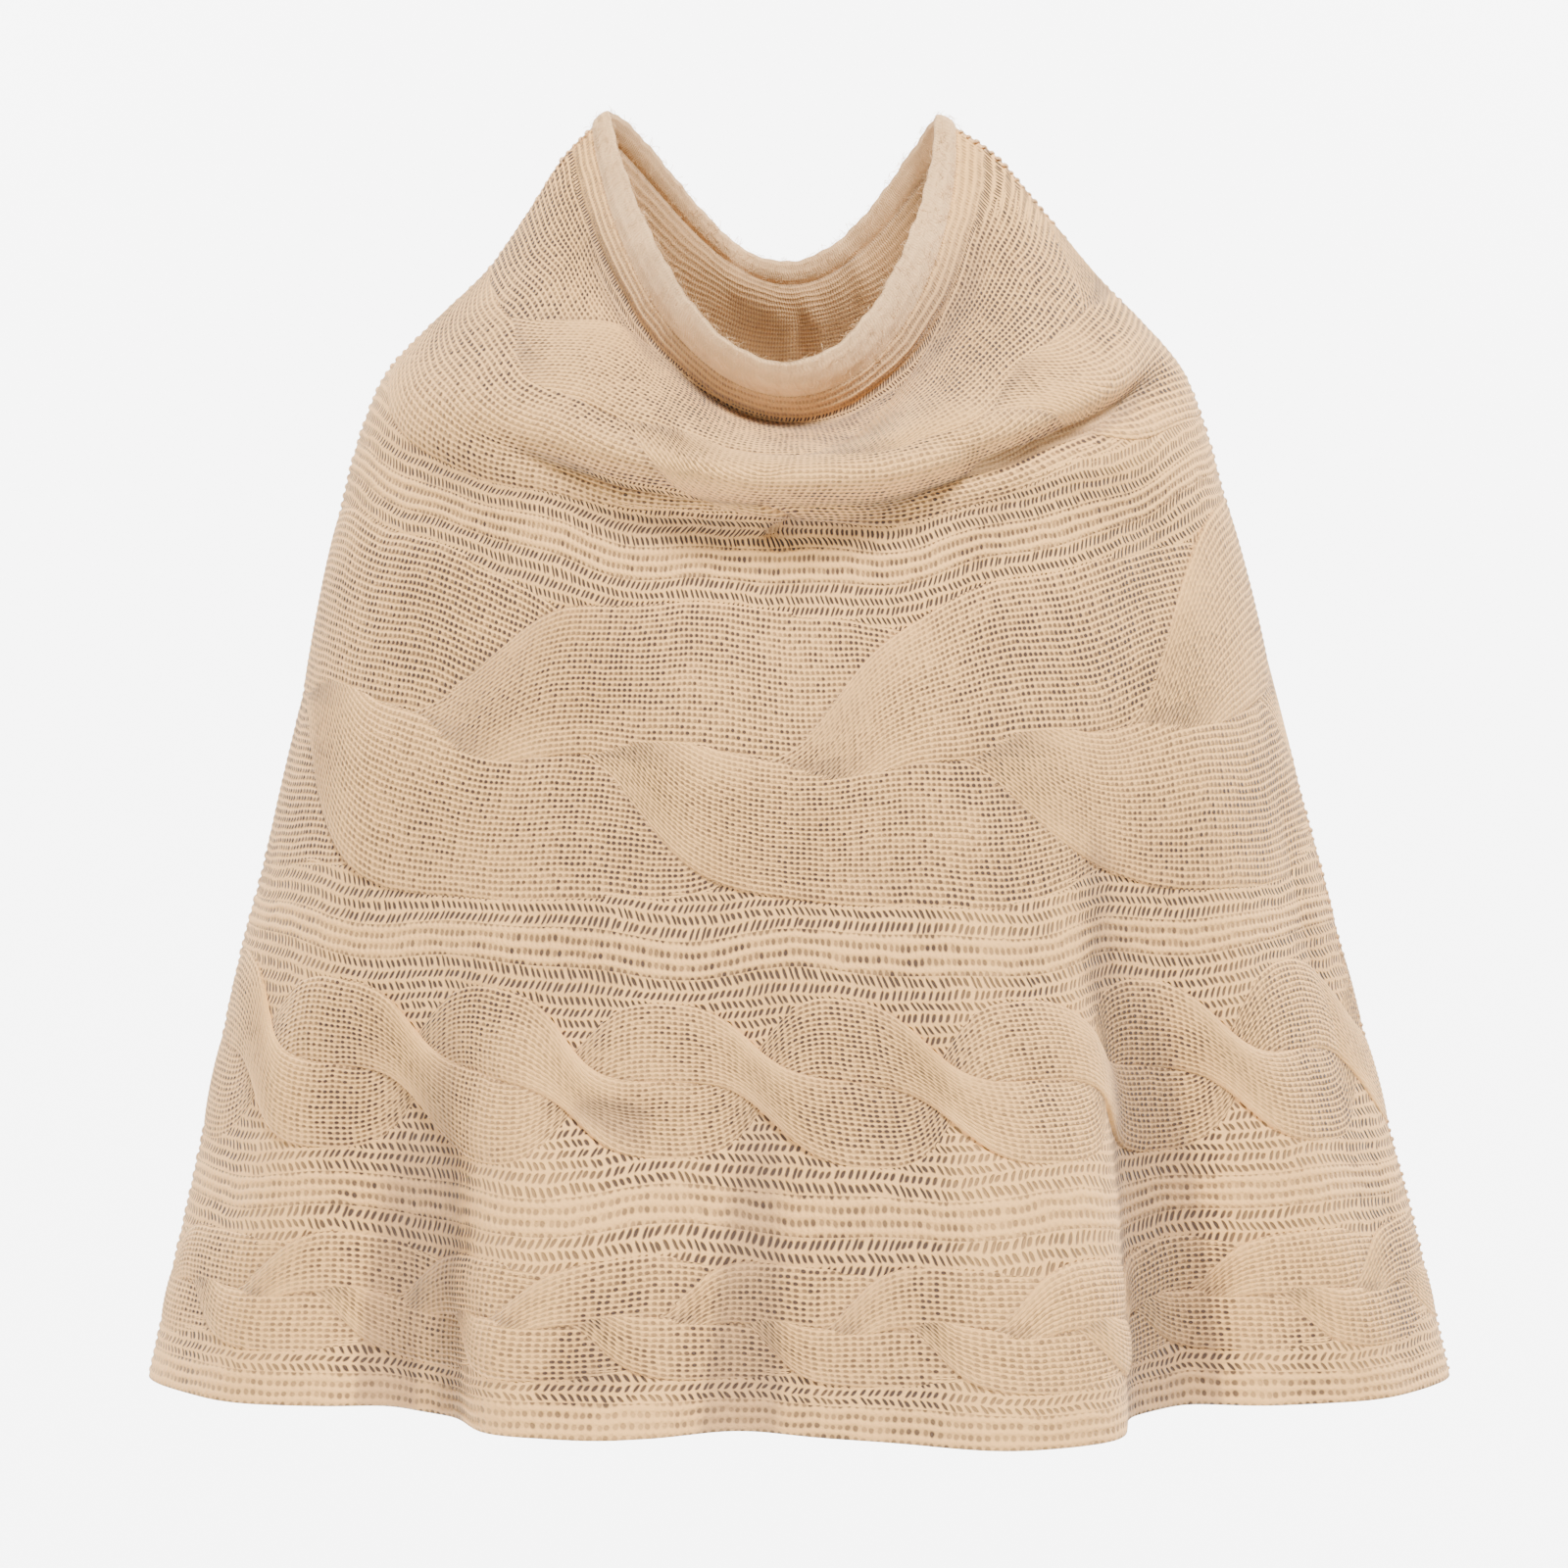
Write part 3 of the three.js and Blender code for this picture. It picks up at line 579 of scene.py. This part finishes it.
# The cables. Strands of stocking stitch, in threes or in twos, that the knitter crosses over one another on
# the purl ground. They stand out from it, and at each crossing they are stretched and their holes close.
STRAND_WIDE = 0.52  # half width of a strand along an edge, as a share of the cable's half
STRAND_NARROW = {2: 0.42, 3: 0.38}  # the same at a crossing, for cables of two and of three strands
STRAND_SNAP = {2: 1.0, 3: 1.7}  # how suddenly a strand swings over
ROUND_SHARE = 0.35  # height of a strand where it lies under the others, as a share of its full height
SHADOW_REACH = 3  # how far the painted shadow reaches beside a strand that lies over it
LIP = 0.5  # how square the edge of a strand is where it lies on top of another
SUNK = 1.0  # millimetres that a strand starts below the outside of the ground
STRAND_FOOT = 0.6  # how much deeper the two edges of its section go
CROWN = 0.55  # how flat the top of its section is: 0.5 is half an ellipse, and 0 a box
WALE_WAVE = 0.22
cable_wool = knit_material("Beige wool, cables", 1.02, 0.0013)


def strand_at(strands, strand, turns):
    """A strand's place from edge to edge, -1 to 1, how steeply it swings, and how far it is on top"""
    if strands == 3:
        phase = 5 * math.pi / 3 + 2 * math.pi * (turns + strand) / 3
        lift = -2 / math.sqrt(3) * np.sin(2 * phase)
    else:
        phase = math.pi / 2 + math.pi * (turns + strand)
        lift = np.sin(phase)
    reach = STRAND_SNAP[strands] * np.cos(phase)
    swing = np.tanh(reach) / math.tanh(STRAND_SNAP[strands])
    return swing, np.abs(np.sin(phase)) / np.cosh(reach) ** 2, 0.5 + 0.5 * np.clip(lift, -1, 1)


def cable_piece(panel, name, top, bottom, strands, repeats, crossing, height, wales, stitch_count):
    """All strands of one cable on one panel, each a dome with a wave for every wale and open below"""
    across = np.linspace(0, 1, COLUMNS * stitch_count // STITCHES + 1)[:, None]
    turns = (across - crossing) * repeats
    if panel == "back":
        turns = (1 - crossing) * repeats + (1 - across) * (round(2 * repeats) - repeats)
    side = np.linspace(-1, 1, 2 * wales + 1)[[0, *range(2 * wales + 1), -1]][None, :]
    centre, half = (top + bottom) / 2, (bottom - top) / 2
    wale_line = np.cos(math.pi * side * wales + math.pi * wales)
    points, faces, uv, opened, ridges, painted_strand_shadow = [], [], [], [], [], []
    count = 0
    for strand in range(strands):
        swing, steep, raised = strand_at(strands, strand, turns)
        half_width = STRAND_WIDE - (STRAND_WIDE - STRAND_NARROW[strands]) * steep
        up = swing * (1 - half_width) + side * half_width
        crown = np.clip(1 - side**2, 0, 1) ** CROWN
        lip = LIP * raised * np.sqrt(steep)
        flat = 0.5 + 0.5 * np.clip(9 * across * (1 - across), 0, 1)
        form = height * flat * (lip + (1 - lip) * crown) * (ROUND_SHARE + (1 - ROUND_SHARE) * raised)
        form[:, [0, -1]] = -STRAND_FOOT
        closed = raised * steep * (0.35 + 0.75 * np.abs(side) ** 1.5)
        open_share = np.clip(1.02 - closed, 0.04, 1)
        # Painted shadow: a strand's yarn is painted darker just beside a strand that lies over it
        under = np.zeros(up.shape)
        for other in range(strands):
            if other == strand:
                continue
            swing_2, steep_2, raised_2 = strand_at(strands, other, turns)
            reach_2 = STRAND_WIDE - (STRAND_WIDE - STRAND_NARROW[strands]) * steep_2
            inside = reach_2 + SHADOW_REACH / half - np.abs(up - swing_2 * (1 - reach_2))
            shadow = np.clip(inside * half / SHADOW_REACH, 0, 1) * np.clip(2 * (raised_2 - raised), 0, 1)
            under = np.maximum(under, shadow)
        wave = -WALE_WAVE * wale_line
        out = CLOTH_WALL / 2 - SUNK + form + wave * crown
        ribbon = cloth(panel, across, centre - up * half, out)
        rows, columns = ribbon.shape[:2]
        points.append(ribbon.reshape(-1, 3))
        faces += grid_faces(rows, columns, count, panel == "front")
        count += rows * columns
        u = np.broadcast_to(across * stitch_count + strand * 0.5, (rows, columns))
        v = np.broadcast_to((side + 1) / 2 * wales, (rows, columns))
        uv.append(np.stack([u.ravel(), v.ravel()], axis=1))
        opened.append(np.broadcast_to(open_share, (rows, columns)).ravel())
        ridges.append(ridge_at(panel, across, centre - up * half).ravel())
        painted_strand_shadow.append(under.ravel())
    values = {"opened": opened, "ridge": ridges, "painted_strand_shadow": painted_strand_shadow}
    values = {key: np.concatenate(value) for key, value in values.items()}
    piece = new_mesh(name, np.concatenate(points), faces, np.concatenate(uv), values)
    piece.data.materials.append(cable_wool)
    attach(piece, "root")
    return piece


cables = {"front": [], "back": []}
for panel in ("front", "back"):
    for number, band in enumerate([b for b in BANDS if b[0] == "cable"], start=1):
        cables[panel].append(cable_piece(panel, f"{panel}_cable_{number}", *band[1:]))


# The neck band. A plain strip of the same yarn that is linked on round the neck and rolls over at its edge.
# It is soft, smooth and hairy, and stands taller at the front than over the shoulders.
BAND_THICKNESS = 5.5
BAND_HEIGHT = {"front": 26, "back": 15, "side": 15}
BAND_STATIONS, BAND_SECTION = 480, 20
BAND_STITCHES = 220  # along each panel
BAND_WALE = 0.5  # wales to a step of the section
BAND_FOOT = 1.6  # millimetres that the band reaches below the neck edge
BAND_OPEN, BAND_PAINTED_SHADE = 0.16, -0.4  # how open its stitches are, and how much painted shade it takes
around = np.arange(BAND_STATIONS) * 2 / BAND_STATIONS
edge, upward, outward = (np.empty((BAND_STATIONS, 3)) for _ in range(3))
for panel in ("front", "back"):
    here = around <= 1 if panel == "front" else around > 1
    across = around[here] if panel == "front" else 2 - around[here]
    seam = cloth(panel, across, 0.0)
    edge[here] = seam
    upward[here] = seam - cloth(panel, across, 4.0)
    outward[here] = cloth(panel, across, 0.0, 1.0) - seam
# Over the side seams the band lies midway between the two panels, and its directions change gently
edge[around == 0, 1] = edge[around == 1, 1] = 0
for _ in range(4):
    upward = (np.roll(upward, 1, axis=0) + upward * 2 + np.roll(upward, -1, axis=0)) / 4
    outward = (np.roll(outward, 1, axis=0) + outward * 2 + np.roll(outward, -1, axis=0)) / 4
upward /= np.linalg.norm(upward, axis=1, keepdims=True)
outward /= np.linalg.norm(outward, axis=1, keepdims=True)
middle = np.abs(np.sin(math.pi * around))
tall = np.where(around <= 1, BAND_HEIGHT["front"], BAND_HEIGHT["back"])
tall = BAND_HEIGHT["side"] + (tall - BAND_HEIGHT["side"]) * middle
tall = tall * (1 + 0.02 * np.sin(23 * math.pi * around) + 0.015 * np.sin(57 * math.pi * around + 1))
section = 2 * math.pi * (np.arange(BAND_SECTION) + 0.5) / BAND_SECTION
lift = tall[:, None] / 2 * (1 + np.sign(np.cos(section)) * np.abs(np.cos(section)) ** 0.9) - BAND_FOOT
thick = BAND_THICKNESS / 2 * (1 + 0.06 * np.sin(31 * math.pi * around))[:, None]
rolled = np.clip((np.cos(section) + 0.75) / 0.5, 0, 1)
bulge = 1.0 + thick * np.sin(section) * (0.2 + 0.8 * rolled * rolled * (3 - 2 * rolled))
from_edge = upward[:, None] * lift[..., None] + outward[:, None] * bulge[..., None]
band_points = edge[:, None] + from_edge * 0.001
faces = []  # one closed ring of sections, each joined to the next
for station in range(BAND_STATIONS):
    for k in range(BAND_SECTION):
        a, b = station * BAND_SECTION, (station + 1) % BAND_STATIONS * BAND_SECTION
        n = (k + 1) % BAND_SECTION
        faces.append([a + k, a + n, b + n, b + k])
u = np.repeat(around * BAND_STITCHES, BAND_SECTION)
v = np.tile(np.arange(BAND_SECTION) * BAND_WALE, BAND_STATIONS)
band_size = BAND_STATIONS * BAND_SECTION
band_values = {"opened": np.full(band_size, BAND_OPEN), "ridge": np.full(band_size, BAND_PAINTED_SHADE)}
band_uv = np.stack([u, v], axis=1)
neck_band = new_mesh("neck_band_rolled", band_points.reshape(-1, 3), faces, band_uv, band_values)
MATTED_LIGHT = (0.70, 0.43, 0.20, 1)
MATTED_SHADE = (0.54, 0.33, 0.155, 1)
plain_wool = knit_material("Beige wool, plain", 0.5, 0.001, light=MATTED_LIGHT, shade=MATTED_SHADE)
neck_band.data.materials.append(plain_wool)
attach(neck_band, "root")
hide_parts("neck_band")

# Sewing and loose fibres. The two side seams are sewn with single stitches of the same yarn over the join,
# and short hairs stand out from the neck band. Geometry nodes grow both along a path or a surface.
SEAM_SPACING = 0.005
SEAM_YARN = 0.0008
HAIR_LENGTH = 0.0045
HAIR_RADIUS = 0.00011
HAIR_DENSITY = 90000  # to a square metre
FIRST_SEED = 7


def new_growth(name, inputs):
    """An empty geometry group with a geometry, the named inputs, a seed and a material"""
    tree = bpy.data.node_groups.new(name, "GeometryNodeTree")
    tree.interface.new_socket("Geometry", in_out="INPUT", socket_type="NodeSocketGeometry")
    for label, kind in [*inputs, ("Seed", "Int"), ("Material", "Material")]:
        tree.interface.new_socket(label, in_out="INPUT", socket_type="NodeSocket" + kind)
    tree.interface.new_socket("Geometry", in_out="OUTPUT", socket_type="NodeSocketGeometry")
    return tree, tree.nodes.new("NodeGroupInput").outputs, tree.nodes.new("NodeGroupOutput")


def yarn_arc(tree, start, middle, end, radius, resolution, sides):
    """A short closed tube along an arc, where the three points are vector sockets or values"""
    arc = add_node(tree, "GeometryNodeCurveQuadraticBezier", Start=start, Middle=middle, End=end)
    arc.inputs["Resolution"].default_value = resolution
    circle = add_node(tree, "GeometryNodeCurvePrimitiveCircle", Resolution=sides, Radius=radius)
    tube = add_node(tree, "GeometryNodeCurveToMesh", Curve=arc.outputs[0], Profile_Curve=circle.outputs[0])
    tube.inputs["Fill Caps"].default_value = True
    return tube.outputs[0]


def finish_growth(tree, places, part, rotation, seed, material, result):
    """The part at every place, a little larger or smaller each time, as plain mesh with its material"""
    size = add_node(tree, "FunctionNodeRandomValue", Seed=seed)
    size.inputs[2].default_value = 0.8
    size.inputs[3].default_value = 1.2
    copies = add_node(tree, "GeometryNodeInstanceOnPoints", Points=places, Instance=part, Rotation=rotation)
    tree.links.new(size.outputs[1], copies.inputs["Scale"])
    real = add_node(tree, "GeometryNodeRealizeInstances", Geometry=copies.outputs[0])
    dressed = add_node(tree, "GeometryNodeSetMaterial", Geometry=real.outputs[0], Material=material)
    tree.links.new(dressed.outputs[0], result.inputs[0])


def grow(name, mesh, tree, values):
    """A piece that a geometry group makes from a mesh. The result is kept as plain mesh."""
    piece = bpy.data.objects.new(name, mesh)
    bpy.context.scene.collection.objects.link(piece)
    modifier = piece.modifiers.new("grown", "NODES")
    modifier.node_group = tree
    for socket in tree.interface.items_tree:
        if socket.in_out == "INPUT" and socket.name in values:
            modifier[socket.identifier] = values[socket.name]
    grown = bpy.data.meshes.new_from_object(piece.evaluated_get(bpy.context.evaluated_depsgraph_get()))
    piece.modifiers.clear()
    piece.data = grown
    grown.shade_smooth()
    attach(piece, "root")
    return piece


seam_tree, given, result = new_growth("Seam stitches", [("Spacing", "Float"), ("Yarn radius", "Float")])
path = add_node(seam_tree, "GeometryNodeMeshToCurve", Mesh=given["Geometry"])
path = add_node(seam_tree, "GeometryNodeResampleCurve", Curve=path.outputs[0])
path.mode = "LENGTH"
seam_tree.links.new(given["Spacing"], path.inputs["Length"])
outwards = add_node(seam_tree, "GeometryNodeInputNamedAttribute", Name="outwards")
outwards.data_type = "FLOAT_VECTOR"
tangent = seam_tree.nodes.new("GeometryNodeInputTangent")
turned = seam_tree.nodes.new("FunctionNodeAxesToRotation")
turned.primary_axis, turned.secondary_axis = "Z", "X"
seam_tree.links.new(outwards.outputs[0], turned.inputs[0])
seam_tree.links.new(tangent.outputs[0], turned.inputs[1])
bar_start, bar_top, bar_end = (-0.0012, -0.003, 0), (0, 0, 0.0016), (0.0012, 0.003, 0)
bar = yarn_arc(seam_tree, bar_start, bar_top, bar_end, given["Yarn radius"], 5, 6)
finish_growth(seam_tree, path.outputs[0], bar, turned.outputs[0], given["Seed"], given["Material"], result)

fuzz_inputs = [("Density", "Float"), ("Length", "Float"), ("Hair radius", "Float")]
hair_tree, given, result = new_growth("Wool fuzz", fuzz_inputs)
seed = given["Seed"]
spots = add_node(hair_tree, "GeometryNodeDistributePointsOnFaces", Mesh=given["Geometry"], Seed=seed)
hair_tree.links.new(given["Density"], spots.inputs["Density"])
tip = add_node(hair_tree, "ShaderNodeCombineXYZ", X=math_node(hair_tree, "MULTIPLY", given["Length"], 0.9))
hair_tree.links.new(math_node(hair_tree, "MULTIPLY", given["Length"], 0.35), tip.inputs["Z"])
bend = add_node(hair_tree, "ShaderNodeCombineXYZ", Z=math_node(hair_tree, "MULTIPLY", given["Length"], 0.5))
hair = yarn_arc(hair_tree, (0, 0, 0), bend.outputs[0], tip.outputs[0], given["Hair radius"], 4, 3)
lean = add_node(hair_tree, "FunctionNodeRandomValue", Seed=seed)
lean.data_type = "FLOAT_VECTOR"
lean.inputs[0].default_value = (-0.5, -0.5, -3.1)
lean.inputs[1].default_value = (0.5, 0.5, 3.1)
leaning = add_node(hair_tree, "FunctionNodeEulerToRotation", Euler=lean.outputs[0])
rotated = add_node(hair_tree, "FunctionNodeRotateRotation", Rotation=spots.outputs["Rotation"])
rotated.rotation_space = "LOCAL"
hair_tree.links.new(leaning.outputs[0], rotated.inputs[1])
finish_growth(hair_tree, spots.outputs[0], hair, rotated.outputs[0], seed, given["Material"], result)

for number, (name, across) in enumerate((("left_seam_stitches", 0.0), ("right_seam_stitches", 1.0))):
    downs = np.linspace(3, HEM - 3, 240)
    line = cloth("front", across, downs, 1.0)
    line[:, 1] = 0
    mesh = bpy.data.meshes.new(name)
    mesh.from_pydata(line.tolist(), [(i, i + 1) for i in range(len(line) - 1)], [])
    facing = (cloth("front", across, downs, 1.0) - cloth("front", across, downs)) * 1000
    attribute = mesh.attributes.new("outwards", "FLOAT_VECTOR", "POINT")
    attribute.data.foreach_set("vector", facing.astype(np.float32).ravel())
    values = {"Spacing": SEAM_SPACING, "Yarn radius": SEAM_YARN, "Seed": FIRST_SEED + number}
    values["Material"] = plain_wool
    grow(name, mesh, seam_tree, values)
values = {"Density": HAIR_DENSITY, "Length": HAIR_LENGTH, "Hair radius": HAIR_RADIUS, "Seed": FIRST_SEED}
values["Material"] = plain_wool
grow("neck_band_hairs", neck_band.data.copy(), hair_tree, values)


# Floor and backdrop in one pale sweep, soft light from large lamps, and the camera at the photograph's place
sweep = [(y, -1.4) for y in np.linspace(-6, 4, 6)]
sweep += [(4 + 2 * math.sin(a), 0.6 - 2 * math.cos(a)) for a in np.linspace(0.1, math.pi / 2, 14)]
sweep += [(6, 2), (6, 7)]
sweep_points = np.array([(x, y, z) for y, z in sweep for x in (-9, 9)])
sweep_faces = [[i, i + 1, i + 3, i + 2] for i in range(0, 2 * len(sweep) - 2, 2)]
mesh = bpy.data.meshes.new("studio_sweep")
mesh.from_pydata(sweep_points.tolist(), [], sweep_faces)
mesh.shade_smooth()
studio_sweep = bpy.data.objects.new("studio_sweep", mesh)
bpy.context.scene.collection.objects.link(studio_sweep)
paper = bpy.data.materials.new("White paper")
paper.use_nodes = True
paper.node_tree.nodes["Principled BSDF"].inputs["Base Color"].default_value = (0.93, 0.93, 0.93, 1)
paper.node_tree.nodes["Principled BSDF"].inputs["Roughness"].default_value = 0.9
mesh.materials.append(paper)

world = bpy.data.worlds.new("Studio")
bpy.context.scene.world = world
world.use_nodes = True
world.node_tree.nodes["Background"].inputs["Color"].default_value = (1, 1, 1, 1)
world.node_tree.nodes["Background"].inputs["Strength"].default_value = 0.14


def add_lamp(name, place, target, size, power):
    """A square lamp that faces its target"""
    light = bpy.data.lights.new(name, "AREA")
    light.size = size
    light.energy = power
    lamp = bpy.data.objects.new(name, light)
    lamp.location = place
    lamp.rotation_euler = (Vector(target) - Vector(place)).to_track_quat("-Z", "Y").to_euler()
    bpy.context.scene.collection.objects.link(lamp)


add_lamp("key", (0.7, -2.0, 2.6), (0, 0, -0.2), 0.7, 375)
add_lamp("fill", (-1.6, -2.9, -0.5), (0, 0, -0.4), 1.2, 70)
add_lamp("backdrop_left", (-3.5, 2.5, 2.5), (0, 6, 0.0), 2.5, 1200)
add_lamp("backdrop_right", (3.5, 2.5, 2.5), (0, 6, 0.0), 2.5, 1200)

# The camera looks from 3 m away and 4 degrees above, and a pixel of the frame is 0.535 mm of the poncho
PIXEL = 0.000535
FRAME_PIXELS = 1600
ORIGIN_ROW = 380  # pixels from the top of the frame to the shoulder tips
SENSOR = 36  # millimetres
DISTANCE = 3.0
camera_data = bpy.data.cameras.new("camera")
camera_data.lens = SENSOR * DISTANCE / (FRAME_PIXELS * PIXEL)
camera = bpy.data.objects.new("camera", camera_data)
bpy.context.scene.collection.objects.link(camera)
bpy.context.scene.camera = camera
aim = Vector((0, 0, (ORIGIN_ROW - FRAME_PIXELS / 2) * PIXEL))
lean = math.radians(4)
camera.location = aim + Vector((0, -math.cos(lean), math.sin(lean))) * DISTANCE
camera.rotation_euler = (aim - camera.location).to_track_quat("-Z", "Y").to_euler()
